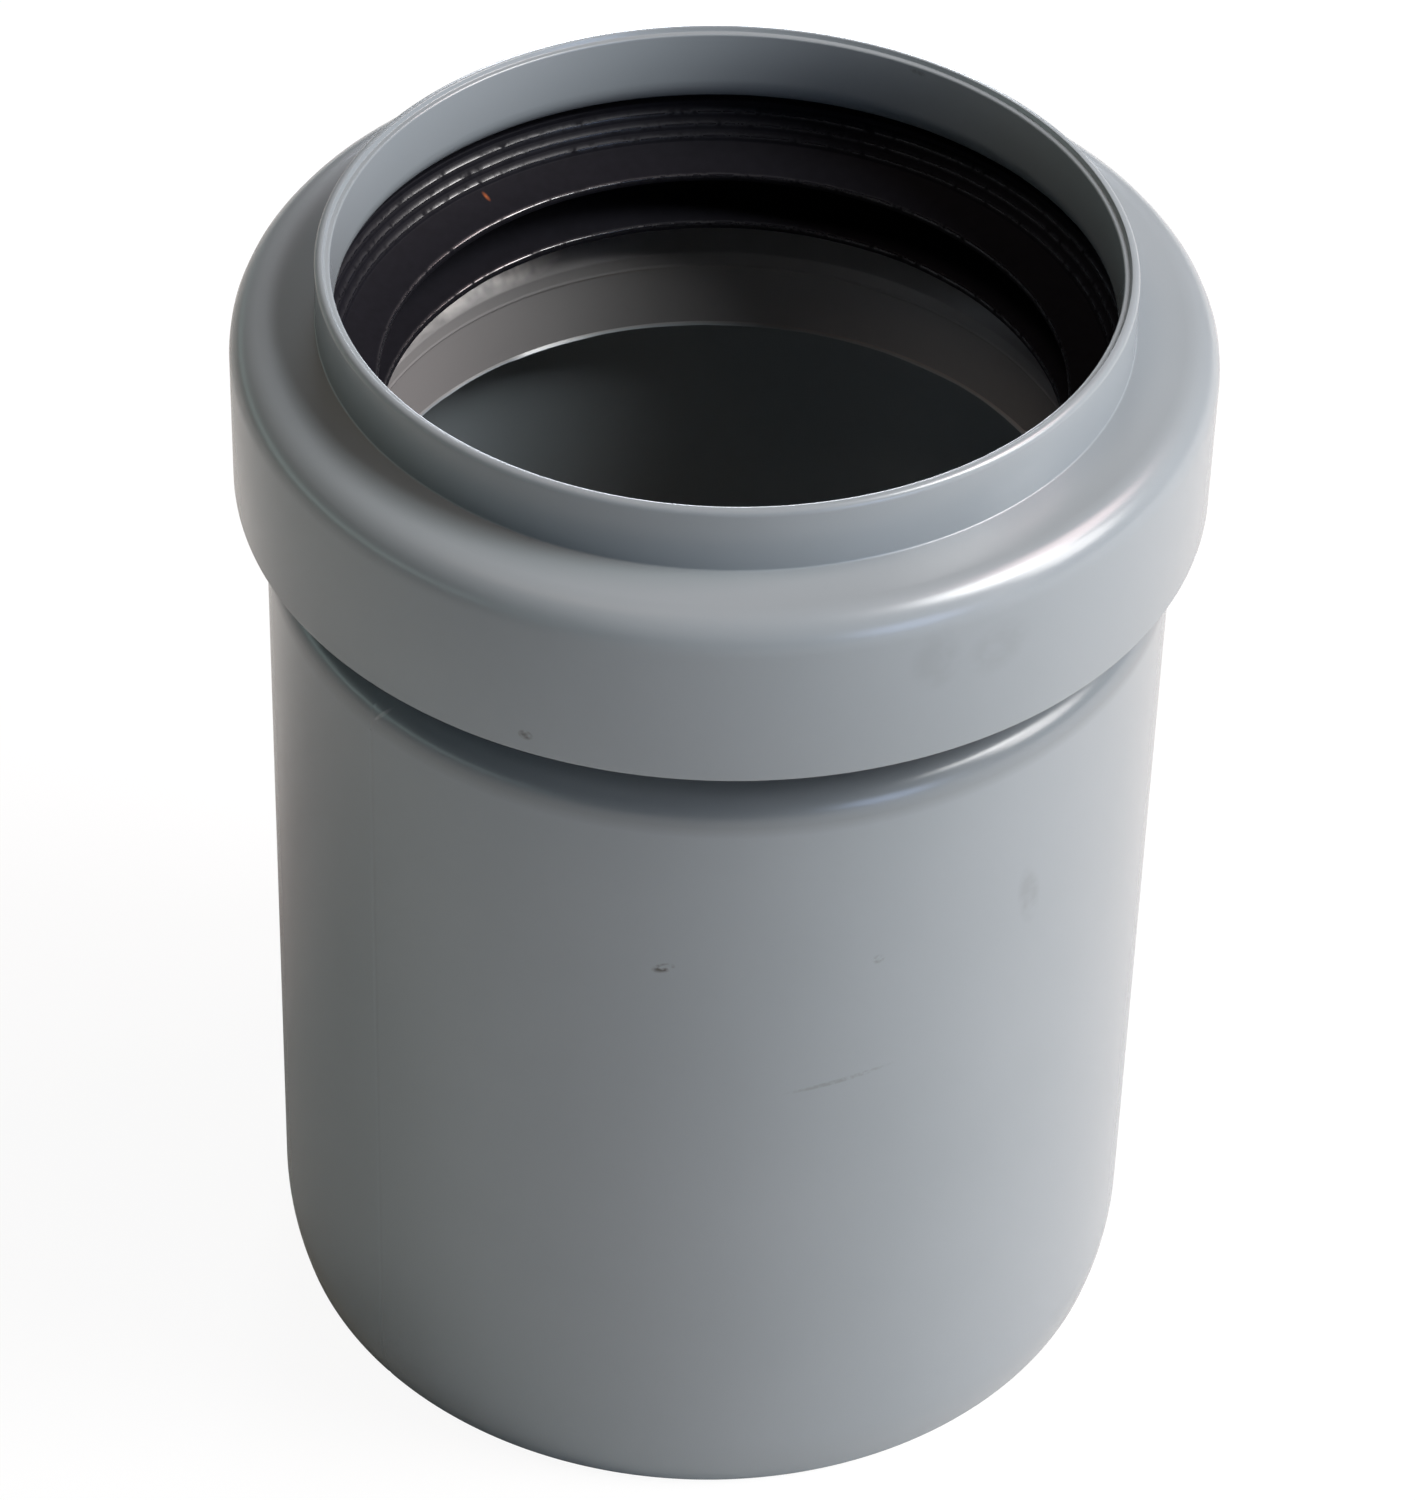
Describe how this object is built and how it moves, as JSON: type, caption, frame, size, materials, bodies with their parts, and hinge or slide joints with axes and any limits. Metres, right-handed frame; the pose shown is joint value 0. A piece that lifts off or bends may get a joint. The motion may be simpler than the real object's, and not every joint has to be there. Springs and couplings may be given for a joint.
{
  "type": "waste pipe reducer",
  "caption": "Round push-fit reducer for plastic waste pipe: a plain spigot end, a rounded shoulder and a smaller socket with a bead that holds a rubber lip seal.",
  "frame": {"origin": "centre of the spigot's end face, where the part stands", "axes": "+Z along the pipe axis, from the spigot end up to the socket's mouth"},
  "size_m": [0.0534, 0.0534, 0.0696],
  "materials": {
    "moulded_plastic": "satin moulded",
    "seal_rubber": "matt with a sheen on the lip edges"
  },
  "bodies": {
    "root": {"reducer_body": "moulded_plastic", "lip_seal": "seal_rubber"}
  },
  "joints": []
}
